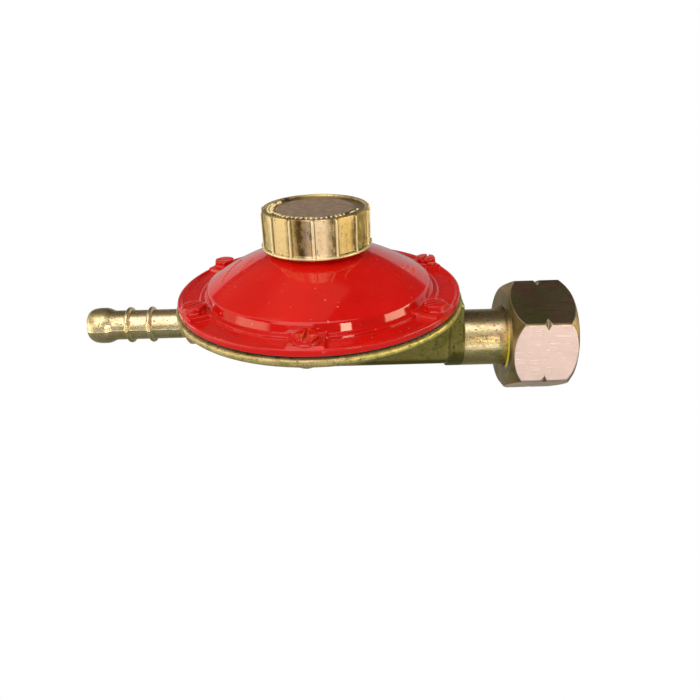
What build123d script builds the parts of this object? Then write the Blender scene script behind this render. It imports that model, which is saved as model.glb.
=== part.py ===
"""Low-pressure diaphragm gas regulator with a hose tail, an adjusting cap and a union nut.

Frame, in millimetres: +X runs from the hose tail to the union nut, +Z runs up through the cap.
The origin is the centre of the union nut's open mouth, on the inlet axis.
The diaphragm, spring and cap share one upright axis at x = axis_x.
"""
import os
from math import cos, pi, radians, sin

from build123d import *

os.makedirs("parts", exist_ok=True)

# ---- overall layout ----
axis_x = -73.1          # upright axis of diaphragm, spring and cap
outlet_z = 7.3          # axis of the hose tail
turn = 360

# ---- joint face between casting and cover ----
flange_r = 41.1
flange_bottom_z = 13.15
flange_top_z = 15.4
membrane_t = 0.6
cover_bottom_z = flange_top_z + membrane_t
membrane_r = 39.9
chamber_r = 30.0

# ---- cover screws ----
screw_count = 6
screw_pitch_r = 36.9
first_screw_angle = -92.7
screw_r = 1.5
screw_head_af = 5.7
screw_head_h = 1.5
screw_washer_r = 3.25
screw_washer_h = 0.4
screw_slot_w = 0.8
screw_tip_gap = 0.2
screw_slot_depth = 0.8
screw_boss_r = 2.6
screw_boss_bottom_z = 12.2
lug_width = 9.5
lug_top_z = 18.4

# ---- cover ----
cover_r = 40.35
rim_top_z = 17.8
rim_width = 1.15
recess_z = 17.2
step_r = 34.2
step_z = 18.05
wall_foot_r = 32.6
dome_edge_r = 31.7
dome_edge_z = 20.7
dome_top_r = 16.0
dome_top_z = 28.4
dome_bulge = 0.35
neck_r = 13.0
neck_fillet = 1.4
neck_top_z = 38.2
neck_bore_r = 10.6
cover_wall = 2.4
vent_r = 0.9
vent_angle = 62

# ---- adjusting cap ----
cap_lip_r = 15.6
cap_lip_z = 30.8
cap_lip_h = 0.7
cap_r = 14.75
cap_rib_r = 15.15
cap_rib_w = 0.8
cap_ribs = 15
first_rib_angle = -90.2
cap_top_z = 41.35
cap_roof_z = 39.3
cap_bore_r = 13.2
cap_ring_outer_r = 13.5
cap_ring_inner_r = 10.4
cap_ring_depth = 0.6
cap_boss_r = 4.0
cap_ticks = 30
thread_pitch = 1.5

# ---- spring and its upper seat ----
seat_r = 10.5
seat_top_z = 36.5
seat_t = 3.0
seat_pilot_r = 6.9
seat_pilot_h = 1.6
spring_r = 8.3
spring_wire_r = 0.8
spring_turns = 6.5
spring_gap = 0.03

# ---- diaphragm plates and stem ----
plate_r = 22.0
plate_t = 1.2
plate_ring_outer_r = 11.4
plate_ring_inner_r = 9.6
plate_ring_h = 1.2
lower_plate_r = 18.0
lower_plate_t = 1.2
fold_inner_r = 23.6
fold_outer_r = 28.4
fold_depth = 1.7
stem_r = 3.0
stem_collar_r = 5.0
stem_collar_t = 1.0
stem_thread_r = 2.0
stem_bottom_z = 4.0
stem_nut_af = 7.0
stem_nut_h = 3.0
stem_washer_r = 4.4
stem_washer_t = 0.8
window_half_y = 1.9
window_half_z = 1.1

# ---- lever: a bell crank between the stem's window and the valve plunger ----
lever_end_z = 6.5
lever_end_r = 1.0
pivot_x = axis_x + 12.0
pivot_z = -0.8
pivot_r = 1.0
pivot_clearance = 0.05
finger_x = axis_x + 15.6
finger_z = 2.0
finger_r = 0.9
lever_t = 1.2
tongue_half_y = 1.6
cheek_inner_y = 3.9
cheek_outer_y = 4.9
bridge_x = axis_x + 7.0
bridge_half = 1.6
eye_r = 2.0
finger_eye_r = 1.6

# ---- valve ----
plunger_r = 3.4
plunger_clearance = 0.05
plunger_left_x = axis_x + 13.7
plunger_right_x = axis_x + 26.3
slot_clearance = 0.1
slot_floor_z = 0.2
pad_r = 2.4
pad_depth = 1.4
pad_proud = 0.3
valve_gap = 0.42
nozzle_tip_x = plunger_right_x + pad_proud + valve_gap
nozzle_tip_r = 1.8
nozzle_cone = 1.6
nozzle_r = 4.0
nozzle_head_r = 4.8
nozzle_head_t = 2.5
nozzle_bore_r = 1.6
orifice_r = 1.0
orifice_length = 2.0
nozzle_slot_w = 1.2
nozzle_slot_depth = 1.0
nozzle_washer_t = 0.5

# ---- casting ----
pan_outer_r = 31.5
pan_knee_r = 28.2
pan_knee_z = 8.2
pan_floor_r = 24.0
pan_bottom_z = 4.6
chamber_knee_r = 26.0
chamber_knee_z = 8.8
chamber_floor_r = 23.0
chamber_floor_z = 7.0
block_half_y = 9.5
block_bottom_z = -4.8
block_left_x = axis_x - 6.0
block_right_x = axis_x + 37.7
block_edge_r = 2.8
web_half_y = 8.4
web_right_x = axis_x + 41.2
stem_pipe_r = 8.43
stem_pipe_left_x = axis_x + 37.0
trough_left_x = axis_x - 4.6
trough_half_y = 5.2
trough_floor_z = -3.0
guide_left_x = axis_x + 18.0
guide_right_x = axis_x + 24.0
window_right_x = axis_x + 29.0
window_top_z = 12.0
nozzle_step_x = axis_x + 36.6
inlet_bore_r = 5.0

# ---- hose tail ----
boss_r = 6.3
boss_left_x = axis_x - 40.0
boss_cone_start_x = axis_x - 29.0
boss_cone_end_x = axis_x - 23.5
boss_cone_end_r = 2.65
tail_end_x = axis_x - 69.2
tail_r = 4.36
tail_bore_r = 2.6
barb_r = 5.3
barb_back_x = axis_x - 62.2
barb_nose_length = 3.0
ring_places = (axis_x - 56.9, axis_x - 50.4)
ring_half_w = 0.75

# ---- union nut and inlet nipple ----
nut_length = 18.9
nut_af = 30.0
nut_corner_angle = 24.1
nut_face_r = 14.3
chamfer_slope = 0.577
nut_rear_wall = 4.4
nut_rear_hole_r = 8.75
nut_rear_chamfer = 0.9
nut_thread_r = 9.74
nut_relief_r = 11.0
nut_relief_w = 4.3
nut_relief_taper = 0.8
notch_half_w = 1.4
notch_depth = 1.3
collar_r = 9.45
collar_left_x = -14.3
collar_t = 3.0
spigot_left_x = -27.0
nipple_bore_r = 2.5
filter_r = 4.0
filter_t = 2.0
filter_recess = 2.2
washer_r = 9.2
washer_bore_r = 4.6
washer_t = 1.8

# ---- planes and axes shared by several pieces ----
upright = Plane(origin=(axis_x, 0, 0), x_dir=(1, 0, 0), z_dir=(0, -1, 0))
upright_axis = Axis((axis_x, 0, 0), (0, 0, 1))
nut_corner_r = nut_af / 2 / cos(radians(30))
collar_right_x = collar_left_x + collar_t
cover_screw_spots = [
    (axis_x + screw_pitch_r * cos(radians(first_screw_angle + turn / screw_count * n)),
     screw_pitch_r * sin(radians(first_screw_angle + turn / screw_count * n)))
    for n in range(screw_count)
]


def disc_plane(z):
    """A level plane at height z, centred on the upright axis."""
    return Plane(origin=(axis_x, 0, z))


def cross_plane(x):
    """A plane square to the inlet axis at x: its own x runs along +Y and its own y along +Z."""
    return Plane(origin=(x, 0, 0), x_dir=(0, 1, 0), z_dir=(1, 0, 0))


def finish(piece, node):
    """Names a finished piece and writes its STEP."""
    piece.part.label = node
    export_step(piece.part, f"parts/{node}.step")


# ---- casting: pan, flange, valve block, inlet stem and hose tail in one zinc part ----
with BuildPart() as casting:
    with BuildSketch(upright):
        with BuildLine():
            Polyline(
                (0, pan_bottom_z),
                (pan_floor_r, pan_bottom_z),
                (pan_knee_r, pan_knee_z),
                (pan_outer_r, flange_bottom_z),
                (flange_r - 0.7, flange_bottom_z),
                (flange_r, flange_bottom_z + 0.7),
                (flange_r, flange_top_z - 0.3),
                (flange_r - 0.3, flange_top_z),
                (0, flange_top_z),
                close=True,
            )
        make_face()
    revolve(axis=upright_axis)
    # valve block under the pan
    with BuildSketch(disc_plane(flange_bottom_z + 0.5)):
        with Locations(((block_left_x + block_right_x) / 2 - axis_x, 0)):
            RectangleRounded(block_right_x - block_left_x, 2 * block_half_y, 1.5)
    extrude(amount=block_bottom_z - flange_bottom_z - 0.5)
    block_floor = casting.faces().sort_by(Axis.Z)[0]
    fillet(block_floor.edges(), block_edge_r)
    # web that ties the block, the flange and the inlet stem together
    with BuildSketch(disc_plane(flange_bottom_z + 1.0)):
        with Locations(((block_right_x + web_right_x) / 2 - 2 - axis_x, 0)):
            Rectangle(web_right_x - block_right_x + 4, 2 * web_half_y)
    extrude(amount=-flange_bottom_z - 1.0)
    # inlet stem
    with BuildSketch(cross_plane(stem_pipe_left_x)):
        Circle(stem_pipe_r)
    extrude(amount=collar_left_x - stem_pipe_left_x)
    # outlet boss and hose tail
    with BuildSketch(Plane.XZ):
        with BuildLine():
            Polyline(
                (boss_cone_end_x, outlet_z),
                (boss_cone_end_x, outlet_z + boss_cone_end_r),
                (boss_cone_start_x, outlet_z + boss_r),
                (boss_left_x + 0.8, outlet_z + boss_r),
                (boss_left_x, outlet_z + boss_r - 0.8),
                (boss_left_x, outlet_z + tail_r),
                (barb_back_x, outlet_z + tail_r),
                (barb_back_x, outlet_z + barb_r),
            )
            Line((barb_back_x, outlet_z + barb_r), (tail_end_x + barb_nose_length, outlet_z + barb_r))
            ThreePointArc(
                (tail_end_x + barb_nose_length, outlet_z + barb_r),
                (tail_end_x + 0.8, outlet_z + barb_r - 0.85),
                (tail_end_x, outlet_z + barb_r - 2.1),
            )
            Polyline(
                (tail_end_x, outlet_z + barb_r - 2.1),
                (tail_end_x, outlet_z),
                (boss_cone_end_x, outlet_z),
            )
        make_face()
    revolve(axis=Axis((0, 0, outlet_z), (1, 0, 0)))
    for ring_x in ring_places:
        with BuildSketch(Plane.XZ):
            with BuildLine():
                Polyline(
                    (ring_x - ring_half_w, outlet_z + tail_r - 0.2),
                    (ring_x - ring_half_w, outlet_z + tail_r),
                )
                ThreePointArc(
                    (ring_x - ring_half_w, outlet_z + tail_r),
                    (ring_x, outlet_z + barb_r),
                    (ring_x + ring_half_w, outlet_z + tail_r),
                )
                Polyline(
                    (ring_x + ring_half_w, outlet_z + tail_r),
                    (ring_x + ring_half_w, outlet_z + tail_r - 0.2),
                    (ring_x - ring_half_w, outlet_z + tail_r - 0.2),
                )
            make_face()
        revolve(axis=Axis((0, 0, outlet_z), (1, 0, 0)))
    # screw bosses under the flange
    with BuildSketch(Plane.XY.offset(screw_boss_bottom_z)):
        with Locations(*cover_screw_spots):
            Circle(screw_boss_r)
    extrude(amount=flange_bottom_z - screw_boss_bottom_z + 0.5)
    # gas chamber below the membrane
    with BuildSketch(upright):
        with BuildLine():
            Polyline(
                (0, chamber_floor_z),
                (chamber_floor_r, chamber_floor_z),
                (chamber_knee_r, chamber_knee_z),
                (chamber_r - 0.8, flange_top_z - 1.5),
                (chamber_r, flange_top_z),
                (0, flange_top_z),
                close=True,
            )
        make_face()
    revolve(axis=upright_axis, mode=Mode.SUBTRACT)
    # lever trough, and the window where the nozzle blows into the chamber
    for left_x, right_x, top_z in (
        (trough_left_x, guide_left_x, chamber_floor_z + 1),
        (guide_right_x, window_right_x, window_top_z),
    ):
        with BuildSketch(Plane.XY.offset(trough_floor_z)):
            with Locations(((left_x + right_x) / 2, 0)):
                Rectangle(right_x - left_x, 2 * trough_half_y)
        extrude(amount=top_z - trough_floor_z, mode=Mode.SUBTRACT)
    # plunger guide
    with BuildSketch(cross_plane(plunger_left_x - 1)):
        Circle(plunger_r + plunger_clearance)
    extrude(amount=window_right_x - plunger_left_x + 1, mode=Mode.SUBTRACT)
    # nozzle seat and inlet passage
    with BuildSketch(cross_plane(window_right_x - 1)):
        Circle(nozzle_r)
    extrude(amount=nozzle_step_x - window_right_x + 2, mode=Mode.SUBTRACT)
    with BuildSketch(cross_plane(nozzle_step_x)):
        Circle(inlet_bore_r)
    extrude(amount=collar_left_x - nozzle_step_x, mode=Mode.SUBTRACT)
    # outlet passage
    with BuildSketch(cross_plane(tail_end_x)):
        with Locations((0, outlet_z)):
            Circle(tail_bore_r)
    extrude(amount=axis_x - 24 - tail_end_x, mode=Mode.SUBTRACT)
    # lever pin hole across the block
    with BuildSketch(Plane.XZ.offset(-block_half_y - 1)):
        with Locations((pivot_x, pivot_z)):
            Circle(pivot_r)
    extrude(amount=2 * block_half_y + 2, mode=Mode.SUBTRACT)
    # tapped holes for the cover screws
    with BuildSketch(Plane.XY.offset(screw_boss_bottom_z)):
        with Locations(*cover_screw_spots):
            Circle(screw_r)
    extrude(amount=flange_top_z - screw_boss_bottom_z, mode=Mode.SUBTRACT)
finish(casting, "casting")

# ---- cover: pressed-down rim, steps, dome and threaded neck ----
dome_mid_r = (dome_edge_r + dome_top_r) / 2
dome_mid_z = (dome_edge_z + dome_top_z) / 2
dome_length = ((dome_edge_r - dome_top_r) ** 2 + (dome_top_z - dome_edge_z) ** 2) ** 0.5
dome_arc_r = dome_mid_r + dome_bulge * (dome_top_z - dome_edge_z) / dome_length
dome_arc_z = dome_mid_z + dome_bulge * (dome_edge_r - dome_top_r) / dome_length
with BuildPart() as cover:
    with BuildSketch(upright):
        with BuildLine():
            Polyline(
                (neck_bore_r, neck_top_z),
                (neck_bore_r, dome_top_z - 0.6),
                (dome_top_r - 1.8, dome_top_z - cover_wall),
                (dome_edge_r - 2.2, dome_edge_z - 1.8),
                (chamber_r, cover_bottom_z + 1.0),
                (chamber_r, cover_bottom_z),
                (cover_r, cover_bottom_z),
                (cover_r, rim_top_z - 0.3),
                (cover_r - 0.3, rim_top_z),
                (cover_r - rim_width + 0.2, rim_top_z),
                (cover_r - rim_width, recess_z),
                (step_r, recess_z),
                (step_r, step_z),
                (wall_foot_r, step_z),
                (dome_edge_r + 0.15, dome_edge_z - 0.25),
                (dome_edge_r - 0.15, dome_edge_z),
            )
            ThreePointArc(
                (dome_edge_r - 0.15, dome_edge_z),
                (dome_arc_r, dome_arc_z),
                (dome_top_r, dome_top_z),
            )
            RadiusArc(
                (dome_top_r, dome_top_z),
                (neck_r, dome_top_z + neck_fillet),
                3.2,
            )
            Polyline(
                (neck_r, dome_top_z + neck_fillet),
                (neck_r, neck_top_z - 0.5),
                (neck_r - 0.5, neck_top_z),
                (neck_bore_r, neck_top_z),
            )
        make_face()
    revolve(axis=upright_axis)
    # raised lugs that carry the screws
    with BuildSketch(Plane.XY.offset(recess_z - 0.5)):
        with Locations((axis_x, 0)):
            with PolarLocations(
                (wall_foot_r + cover_r) / 2 - 0.9, screw_count, start_angle=first_screw_angle
            ):
                Rectangle(cover_r - wall_foot_r + 0.6, lug_width)
            Circle(cover_r - 0.3, mode=Mode.INTERSECT)
    extrude(amount=lug_top_z - recess_z + 0.5)
    with BuildSketch(Plane.XY.offset(cover_bottom_z)):
        with Locations(*cover_screw_spots):
            Circle(screw_r + 0.2)
    extrude(amount=lug_top_z - cover_bottom_z, mode=Mode.SUBTRACT)
    # breather hole of the spring chamber
    vent_plane = Plane(
        origin=(axis_x, 0, (step_z + dome_edge_z) / 2),
        x_dir=(-sin(radians(vent_angle)), cos(radians(vent_angle)), 0),
        z_dir=(cos(radians(vent_angle)), sin(radians(vent_angle)), 0),
    )
    with BuildSketch(vent_plane.offset(dome_edge_r - 5)):
        Circle(vent_r)
    extrude(amount=8, mode=Mode.SUBTRACT)
finish(cover, "cover")

# ---- six slotted hexagon washer-head screws ----
with BuildPart() as cover_screws:
    with BuildSketch(Plane.XY.offset(screw_boss_bottom_z + screw_tip_gap)):
        with Locations(*cover_screw_spots):
            Circle(screw_r)
    extrude(amount=lug_top_z - screw_boss_bottom_z - screw_tip_gap)
    with BuildSketch(Plane.XY.offset(lug_top_z)):
        with Locations(*cover_screw_spots):
            Circle(screw_washer_r)
    extrude(amount=screw_washer_h)
    with BuildSketch(Plane.XY.offset(lug_top_z + screw_washer_h)):
        with Locations(*cover_screw_spots):
            RegularPolygon(screw_head_af / 2, 6, major_radius=False)
    extrude(amount=screw_head_h)
    screw_top_z = lug_top_z + screw_washer_h + screw_head_h
    with BuildSketch(Plane.XY.offset(screw_top_z - screw_slot_depth)):
        for slot_turn, spot in enumerate(cover_screw_spots):
            with Locations(spot):
                Rectangle(screw_head_af + 2, screw_slot_w, rotation=20 + 37 * slot_turn)
    extrude(amount=screw_slot_depth, mode=Mode.SUBTRACT)
finish(cover_screws, "cover_screws")

# ---- rubber membrane with one rolled fold ----
with BuildPart() as membrane:
    with BuildSketch(upright):
        with BuildLine():
            fold_mid_r = (fold_inner_r + fold_outer_r) / 2
            Polyline(
                (stem_thread_r, cover_bottom_z),
                (stem_thread_r, flange_top_z),
                (fold_inner_r - membrane_t, flange_top_z),
            )
            ThreePointArc(
                (fold_inner_r - membrane_t, flange_top_z),
                (fold_mid_r, flange_top_z - fold_depth),
                (fold_outer_r + membrane_t, flange_top_z),
            )
            Polyline(
                (fold_outer_r + membrane_t, flange_top_z),
                (membrane_r, flange_top_z),
                (membrane_r, cover_bottom_z),
                (fold_outer_r, cover_bottom_z),
            )
            ThreePointArc(
                (fold_outer_r, cover_bottom_z),
                (fold_mid_r, cover_bottom_z - fold_depth),
                (fold_inner_r, cover_bottom_z),
            )
            Line((fold_inner_r, cover_bottom_z), (stem_thread_r, cover_bottom_z))
        make_face()
    revolve(axis=upright_axis)
    with BuildSketch(Plane.XY.offset(flange_top_z)):
        with Locations(*cover_screw_spots):
            Circle(screw_r + 0.1)
    extrude(amount=membrane_t, mode=Mode.SUBTRACT)
finish(membrane, "membrane")

# ---- plate above the membrane, with a ring that centres the spring ----
plate_top_z = cover_bottom_z + plate_t
with BuildPart() as upper_plate:
    with BuildSketch(disc_plane(cover_bottom_z)):
        Circle(plate_r)
        Circle(stem_thread_r, mode=Mode.SUBTRACT)
    extrude(amount=plate_t)
    fillet(upper_plate.edges().filter_by(GeomType.CIRCLE).group_by(SortBy.RADIUS)[-1], 0.3)
    with BuildSketch(disc_plane(plate_top_z)):
        Circle(plate_ring_outer_r)
        Circle(plate_ring_inner_r, mode=Mode.SUBTRACT)
    extrude(amount=plate_ring_h)
finish(upper_plate, "upper_plate")

# ---- plate below the membrane ----
lower_plate_z = flange_top_z - lower_plate_t
with BuildPart() as lower_plate:
    with BuildSketch(disc_plane(lower_plate_z)):
        Circle(lower_plate_r)
        Circle(stem_thread_r, mode=Mode.SUBTRACT)
    extrude(amount=lower_plate_t)
    fillet(lower_plate.edges().filter_by(GeomType.CIRCLE).group_by(SortBy.RADIUS)[-1], 0.3)
finish(lower_plate, "lower_plate")

# ---- stem: hangs from the plates and lifts the lever's end in its window ----
stem_nut_z = plate_top_z + stem_washer_t
with BuildPart() as stem:
    with BuildSketch(disc_plane(stem_bottom_z)):
        Circle(stem_r)
    extrude(amount=lower_plate_z - stem_bottom_z)
    chamfer(stem.edges().sort_by(Axis.Z)[0], 0.5)
    with BuildSketch(disc_plane(lower_plate_z - stem_collar_t)):
        Circle(stem_collar_r)
    extrude(amount=stem_collar_t)
    with BuildSketch(disc_plane(lower_plate_z)):
        Circle(stem_thread_r)
    extrude(amount=stem_nut_z + stem_nut_h + 0.8 - lower_plate_z)
    with BuildSketch(cross_plane(axis_x - stem_r - 1)):
        with Locations((0, lever_end_z)):
            Rectangle(2 * window_half_y, 2 * window_half_z)
    extrude(amount=2 * stem_r + 2, mode=Mode.SUBTRACT)
finish(stem, "stem")

# ---- spring washer and nut on the stem ----
with BuildPart() as stem_washer:
    with BuildSketch(disc_plane(plate_top_z)):
        Circle(stem_washer_r)
        Circle(stem_thread_r, mode=Mode.SUBTRACT)
    extrude(amount=stem_washer_t)
finish(stem_washer, "stem_washer")

with BuildPart() as stem_nut:
    with BuildSketch(disc_plane(stem_nut_z)):
        RegularPolygon(stem_nut_af / 2, 6, major_radius=False)
        Circle(stem_thread_r, mode=Mode.SUBTRACT)
    extrude(amount=stem_nut_h)
finish(stem_nut, "stem_nut")

# ---- upper spring seat: slides in the neck, pushed down by the cap ----
seat_bottom_z = seat_top_z - seat_t
with BuildPart() as spring_seat:
    with BuildSketch(upright):
        with BuildLine():
            Polyline(
                (0, seat_bottom_z - seat_pilot_h),
                (seat_pilot_r - 0.5, seat_bottom_z - seat_pilot_h),
                (seat_pilot_r, seat_bottom_z - seat_pilot_h + 0.5),
                (seat_pilot_r, seat_bottom_z),
                (seat_r, seat_bottom_z),
                (seat_r, seat_top_z - 0.4),
                (seat_r - 0.4, seat_top_z),
                (0, seat_top_z),
                close=True,
            )
        make_face()
    revolve(axis=upright_axis)
finish(spring_seat, "spring_seat")

# ---- main spring: a round-wire helix between the plate and the seat ----
spring_bottom_z = plate_top_z + spring_wire_r + spring_gap
spring_top_z = seat_bottom_z - spring_wire_r - spring_gap
spring_pitch = (spring_top_z - spring_bottom_z) / spring_turns
with BuildPart() as main_spring:
    with BuildLine():
        spring_path = Helix(
            pitch=spring_pitch,
            height=spring_top_z - spring_bottom_z,
            radius=spring_r,
            center=(axis_x, 0, spring_bottom_z),
        )
    with BuildSketch(Plane(origin=spring_path @ 0, z_dir=spring_path % 0)):
        Circle(spring_wire_r)
    sweep(path=spring_path, is_frenet=True)
finish(main_spring, "main_spring")

# ---- adjusting cap: ribbed, screws on the neck ----
with BuildPart() as adjusting_cap:
    with BuildSketch(upright):
        with BuildLine():
            Polyline(
                (0, cap_top_z - 0.35),
                (cap_ring_inner_r, cap_top_z - 0.35),
                (cap_ring_inner_r, cap_top_z - cap_ring_depth),
                (cap_ring_outer_r, cap_top_z - cap_ring_depth),
                (cap_ring_outer_r, cap_top_z),
                (cap_r - 0.5, cap_top_z),
                (cap_r, cap_top_z - 0.5),
                (cap_r, cap_lip_z + cap_lip_h + 0.6),
                (cap_lip_r, cap_lip_z + cap_lip_h),
                (cap_lip_r, cap_lip_z),
                (cap_bore_r, cap_lip_z),
                (cap_bore_r, cap_roof_z),
                (cap_boss_r, cap_roof_z),
                (cap_boss_r, seat_top_z),
                (0, seat_top_z),
                close=True,
            )
        make_face()
    revolve(axis=upright_axis)
    with BuildSketch(disc_plane(cap_lip_z + cap_lip_h)):
        with PolarLocations(cap_rib_r - 0.6, cap_ribs, start_angle=first_rib_angle):
            Rectangle(1.2, cap_rib_w)
    extrude(amount=cap_top_z - 0.9 - cap_lip_z - cap_lip_h)
    with BuildSketch(disc_plane(cap_top_z - cap_ring_depth)):
        with PolarLocations((cap_ring_inner_r + cap_ring_outer_r) / 2, cap_ticks):
            Rectangle(1.6, 0.5)
    extrude(amount=0.3)
finish(adjusting_cap, "adjusting_cap")

# ---- lever: two cheeks, a bridge, a tongue and a cross finger ----
with BuildPart() as lever:
    for cheek_y in (cheek_inner_y, -cheek_outer_y):
        with BuildSketch(Plane.XZ.offset(-cheek_y)):
            with Locations((pivot_x, pivot_z)):
                Circle(eye_r)
            with Locations((finger_x, finger_z)):
                Circle(finger_eye_r)
            with Locations((bridge_x, lever_end_z)):
                Circle(lever_t / 2)
            make_hull()
        extrude(amount=cheek_inner_y - cheek_outer_y)
    with BuildSketch(Plane.XY.offset(lever_end_z - lever_t / 2)):
        with Locations((bridge_x, 0)):
            Rectangle(2 * bridge_half, 2 * cheek_outer_y)
        with Locations(((axis_x + bridge_x) / 2, 0)):
            Rectangle(bridge_x - axis_x, 2 * tongue_half_y)
    extrude(amount=lever_t)
    with BuildSketch(Plane.XZ.offset(-tongue_half_y)):
        with Locations((axis_x, lever_end_z)):
            Circle(lever_end_r)
    extrude(amount=2 * tongue_half_y)
    with BuildSketch(Plane.XZ.offset(-cheek_outer_y)):
        with Locations((finger_x, finger_z)):
            Circle(finger_r)
    extrude(amount=2 * cheek_outer_y)
    with BuildSketch(Plane.XZ.offset(-cheek_outer_y - 1)):
        with Locations((pivot_x, pivot_z)):
            Circle(pivot_r + pivot_clearance)
    extrude(amount=2 * cheek_outer_y + 2, mode=Mode.SUBTRACT)
finish(lever, "lever")

# ---- lever pin, pressed across the block ----
pin_half_length = block_half_y - 0.3
with BuildPart() as lever_pin:
    with BuildSketch(Plane.XZ.offset(-pin_half_length)):
        with Locations((pivot_x, pivot_z)):
            Circle(pivot_r)
    extrude(amount=2 * pin_half_length)
finish(lever_pin, "lever_pin")

# ---- valve plunger with a cross slot for the lever's finger ----
with BuildPart() as plunger:
    with BuildSketch(cross_plane(plunger_left_x)):
        Circle(plunger_r)
    extrude(amount=plunger_right_x - plunger_left_x)
    with BuildSketch(cross_plane(plunger_right_x - pad_depth)):
        Circle(pad_r)
    extrude(amount=pad_depth, mode=Mode.SUBTRACT)
    with BuildSketch(Plane.XY.offset(slot_floor_z)):
        with Locations((finger_x, 0)):
            Rectangle(2 * (finger_r + slot_clearance), 2 * plunger_r)
    extrude(amount=plunger_r, mode=Mode.SUBTRACT)
finish(plunger, "plunger")

with BuildPart() as valve_pad:
    with BuildSketch(cross_plane(plunger_right_x - pad_depth)):
        Circle(pad_r)
    extrude(amount=pad_depth + pad_proud)
finish(valve_pad, "valve_pad")

# ---- brass nozzle with its sealing washer ----
nozzle_head_x = nozzle_step_x + nozzle_washer_t
nozzle_end_x = nozzle_head_x + nozzle_head_t
with BuildPart() as nozzle:
    with BuildSketch(Plane.XZ):
        with BuildLine():
            Polyline(
                (nozzle_tip_x, orifice_r),
                (nozzle_tip_x, nozzle_tip_r),
                (nozzle_tip_x + nozzle_cone, nozzle_r),
                (nozzle_head_x, nozzle_r),
                (nozzle_head_x, nozzle_head_r),
                (nozzle_end_x, nozzle_head_r),
                (nozzle_end_x, nozzle_bore_r),
                (nozzle_tip_x + orifice_length, nozzle_bore_r),
                (nozzle_tip_x + orifice_length, orifice_r),
                close=True,
            )
        make_face()
    revolve(axis=Axis.X)
    with BuildSketch(cross_plane(nozzle_end_x - nozzle_slot_depth)):
        Rectangle(nozzle_slot_w, 2 * nozzle_head_r)
    extrude(amount=nozzle_slot_depth, mode=Mode.SUBTRACT)
finish(nozzle, "nozzle")

with BuildPart() as nozzle_washer:
    with BuildSketch(cross_plane(nozzle_step_x)):
        Circle(nozzle_head_r)
        Circle(nozzle_r, mode=Mode.SUBTRACT)
    extrude(amount=nozzle_washer_t)
finish(nozzle_washer, "nozzle_washer")

# ---- inlet nipple: pressed into the stem, its collar holds the union nut ----
with BuildPart() as inlet_nipple:
    with BuildSketch(Plane.XZ):
        with BuildLine():
            Polyline(
                (spigot_left_x, nipple_bore_r),
                (spigot_left_x, inlet_bore_r - 0.5),
                (spigot_left_x + 0.5, inlet_bore_r),
                (collar_left_x, inlet_bore_r),
                (collar_left_x, collar_r),
                (collar_right_x - 0.4, collar_r),
                (collar_right_x, collar_r - 0.4),
                (collar_right_x, filter_r),
                (collar_right_x - filter_recess, filter_r),
                (collar_right_x - filter_recess, nipple_bore_r),
                close=True,
            )
        make_face()
    revolve(axis=Axis.X)
finish(inlet_nipple, "inlet_nipple")

with BuildPart() as inlet_filter:
    with BuildSketch(cross_plane(collar_right_x - filter_recess)):
        Circle(filter_r)
    extrude(amount=filter_t)
    chamfer(inlet_filter.edges().sort_by(Axis.X)[-1], 0.3)
finish(inlet_filter, "inlet_filter")

# ---- sealing washer on the collar's face ----
with BuildPart() as inlet_washer:
    with BuildSketch(cross_plane(collar_right_x)):
        Circle(washer_r)
        Circle(washer_bore_r, mode=Mode.SUBTRACT)
    extrude(amount=washer_t)
finish(inlet_washer, "inlet_washer")

# ---- union nut: hexagon with rounded ends, notched corners and a shouldered bore ----
nut_thread_length = nut_length - nut_rear_wall - nut_relief_w - nut_relief_taper
nut_chamfer = (nut_corner_r + 0.1 - nut_face_r) * chamfer_slope
notch_x = -nut_length / 2
with BuildPart() as union_nut:
    with BuildSketch(cross_plane(-nut_length)):
        RegularPolygon(nut_corner_r, 6, rotation=nut_corner_angle)
    extrude(amount=nut_length)
    with BuildSketch(Plane.XZ):
        with BuildLine():
            Polyline(
                (-nut_length, 0),
                (-nut_length, nut_face_r),
                (-nut_length + nut_chamfer, nut_corner_r + 0.1),
                (notch_x - notch_half_w, nut_corner_r + 0.1),
                (notch_x, nut_corner_r + 0.1 - notch_depth),
                (notch_x + notch_half_w, nut_corner_r + 0.1),
                (-nut_chamfer, nut_corner_r + 0.1),
                (0, nut_face_r),
                (0, 0),
                close=True,
            )
        make_face()
    revolve(axis=Axis.X, mode=Mode.INTERSECT)
    with BuildSketch(Plane.XZ):
        with BuildLine():
            Polyline(
                (-nut_length, 0),
                (-nut_length, nut_rear_hole_r + nut_rear_chamfer),
                (-nut_length + nut_rear_chamfer, nut_rear_hole_r),
                (-nut_length + nut_rear_wall, nut_rear_hole_r),
                (-nut_length + nut_rear_wall, nut_relief_r),
                (-nut_length + nut_rear_wall + nut_relief_w, nut_relief_r),
                (-nut_thread_length, nut_thread_r),
                (0, nut_thread_r),
                (0, 0),
                close=True,
            )
        make_face()
    revolve(axis=Axis.X, mode=Mode.SUBTRACT)
finish(union_nut, "union_nut")

# ---- the cap's lift for one radian of turn, and the lever's reach, for the joints ----
print("cap lift per radian, mm:", round(thread_pitch / (2 * pi), 6))
print("threaded bore, mm:", round(nut_thread_length, 3))
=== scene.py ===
"""Looks of a low-pressure diaphragm gas regulator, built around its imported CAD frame.

All lengths in this script are millimetres in the row frame and are scaled once, when a mesh is made.
"""

from math import cos, pi, radians, sin, sqrt, tan

import bmesh
import bpy
import numpy as np
from mathutils import Matrix, Vector


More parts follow.
